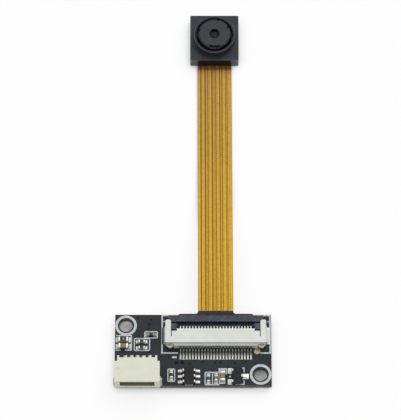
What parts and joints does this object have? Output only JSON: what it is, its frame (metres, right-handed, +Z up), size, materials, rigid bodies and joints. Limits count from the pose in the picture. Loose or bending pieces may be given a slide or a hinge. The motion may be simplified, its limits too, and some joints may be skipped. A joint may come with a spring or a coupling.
{
  "type": "camera module",
  "caption": "Small camera module: controller board with a wire socket and a flip-latch flex socket, and a lens head on a long amber flex circuit.",
  "frame": {"origin": "middle of the controller board, on its underside, midway between the two mounting holes", "axes": "+X along the board to the right, +Y from the board towards the lens head, +Z up out of the board's component side"},
  "size_m": [0.0258, 0.0678, 0.0048],
  "materials": {
    "solder_mask": "satin black",
    "legend_white": "matt white ink",
    "solder": "bright tin",
    "gold_plate": "satin gold",
    "ivory_nylon": "satin ivory",
    "cream_nylon": "satin cream",
    "tinned_contact": "bright tin",
    "dark_latch": "satin blue-black",
    "black_epoxy": "matt black",
    "resistor_black": "glazed black",
    "capacitor_tan": "matt tan ceramic",
    "metal_can": "satin metal",
    "amber_film": "glossy amber film",
    "black_film": "satin black film",
    "lens_black": "fine matt black",
    "barrel_black": "fine matt dark grey",
    "coated_glass": "coated, dark",
    "filter_glass": "tinted",
    "silicon": "polished dark",
    "steel_plate": "dull steel",
    "black_glue": "glossy black"
  },
  "bodies": {
    "module": {"circuit_board": "solder_mask", "legend_ink": "legend_white", "top_solder_lands": "solder", "underside_solder_lands": "solder", "gold_test_pad": "gold_plate", "flex_socket_housing": "ivory_nylon", "flex_socket_contacts": "tinned_contact", "flex_socket_anchors": "tinned_contact", "wire_socket_housing": "cream_nylon", "wire_socket_contacts": "tinned_contact", "wire_socket_anchors": "tinned_contact", "regulator_body": "black_epoxy", "regulator_leads": "tinned_contact", "transistor_body": "black_epoxy", "transistor_leads": "tinned_contact", "zero_ohm_link": "resistor_black", "input_capacitor": "capacitor_tan", "rear_resistor": "resistor_black", "front_resistor": "resistor_black", "corner_resistor": "resistor_black", "sense_resistor": "resistor_black", "output_resistor": "resistor_black", "filter_capacitor": "capacitor_tan", "output_capacitor": "capacitor_tan", "controller_chip": "black_epoxy", "memory_chip": "black_epoxy", "crystal": "metal_can", "underside_capacitors": "capacitor_tan", "flex_circuit": "amber_film", "flex_end_stiffener": "black_film", "lens_housing": "lens_black", "lens_barrel": "barrel_black", "front_lens": "coated_glass", "rear_lens": "coated_glass", "infrared_filter": "filter_glass", "image_sensor": "silicon", "sensor_base_plate": "steel_plate", "adhesive_bead": "black_glue"},
    "latch": {"flex_socket_latch": "dark_latch"}
  },
  "joints": [
    {"name": "flex_latch_hinge", "type": "hinge", "parent": "module", "child": "latch", "pos_m": [0.0037, 0.0035, 0.00255], "axis": [1, 0, 0], "range_deg": [0, 90]}
  ]
}
